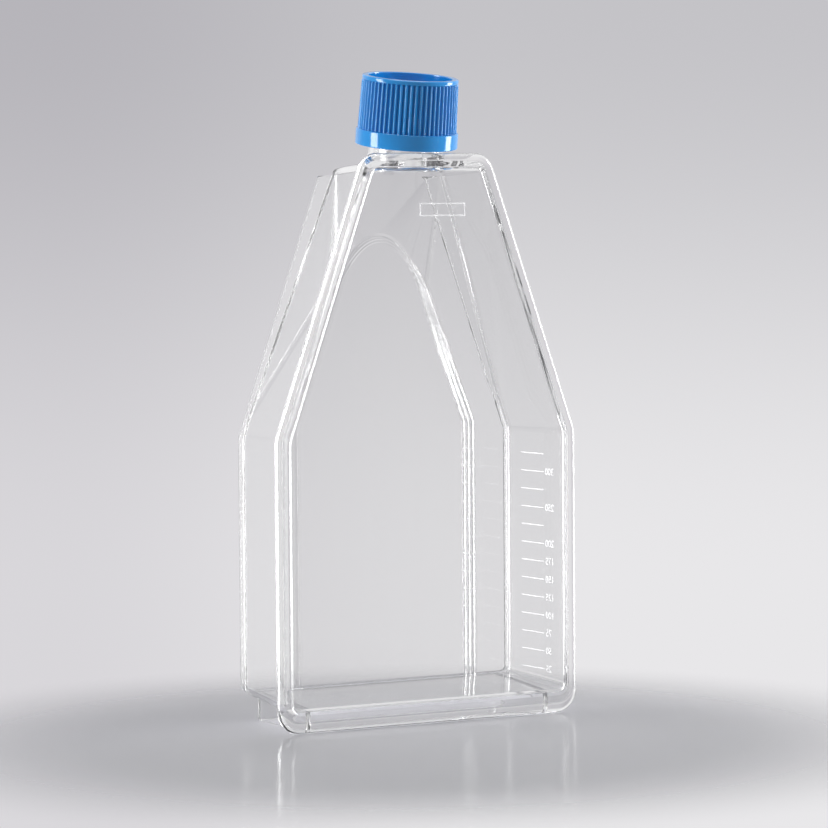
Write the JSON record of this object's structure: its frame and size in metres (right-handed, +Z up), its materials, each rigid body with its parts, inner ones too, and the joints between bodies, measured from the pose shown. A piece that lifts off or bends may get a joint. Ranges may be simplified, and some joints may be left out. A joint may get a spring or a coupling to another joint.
{
  "type": "cell culture flask",
  "caption": "Clear rectangular cell culture flask with sloped shoulders, a canted neck and a blue ribbed screw cap with a filter vent, standing on its end.",
  "frame": {"origin": "middle of the flask's bounding box in x and y, on the surface that it stands on", "axes": "+X along the flask's width, towards the side with the volume scale; -Y is the front, where the flat top plate is; +Z up, from the foot to the cap"},
  "size_m": [0.12, 0.0462, 0.2294],
  "materials": {
    "clear_polystyrene": "clear, gloss as moulded",
    "cap_plastic": "satin gloss blue, as moulded",
    "filter_membrane": "matt white porous film"
  },
  "bodies": {
    "flask": {"flask_body": "clear_polystyrene", "top_plate": "clear_polystyrene"},
    "cap_carrier": {"vent_membrane": "filter_membrane"},
    "cap": {"cap": "cap_plastic"}
  },
  "joints": [
    {"name": "cap_rise", "type": "slide", "parent": "flask", "child": "cap_carrier", "axis": [0, -0.1478, 0.989], "range_m": [0, 0.0061]},
    {"name": "cap_turn", "type": "hinge", "parent": "cap_carrier", "child": "cap", "pos_m": [0, -0.0027, 0.2028], "axis": [0, -0.1478, 0.989], "range_deg": [0, 540]}
  ],
  "couplings": [
    {"joint": "cap_rise", "follows": "cap_turn", "m_per_rad": 0.00063662}
  ]
}
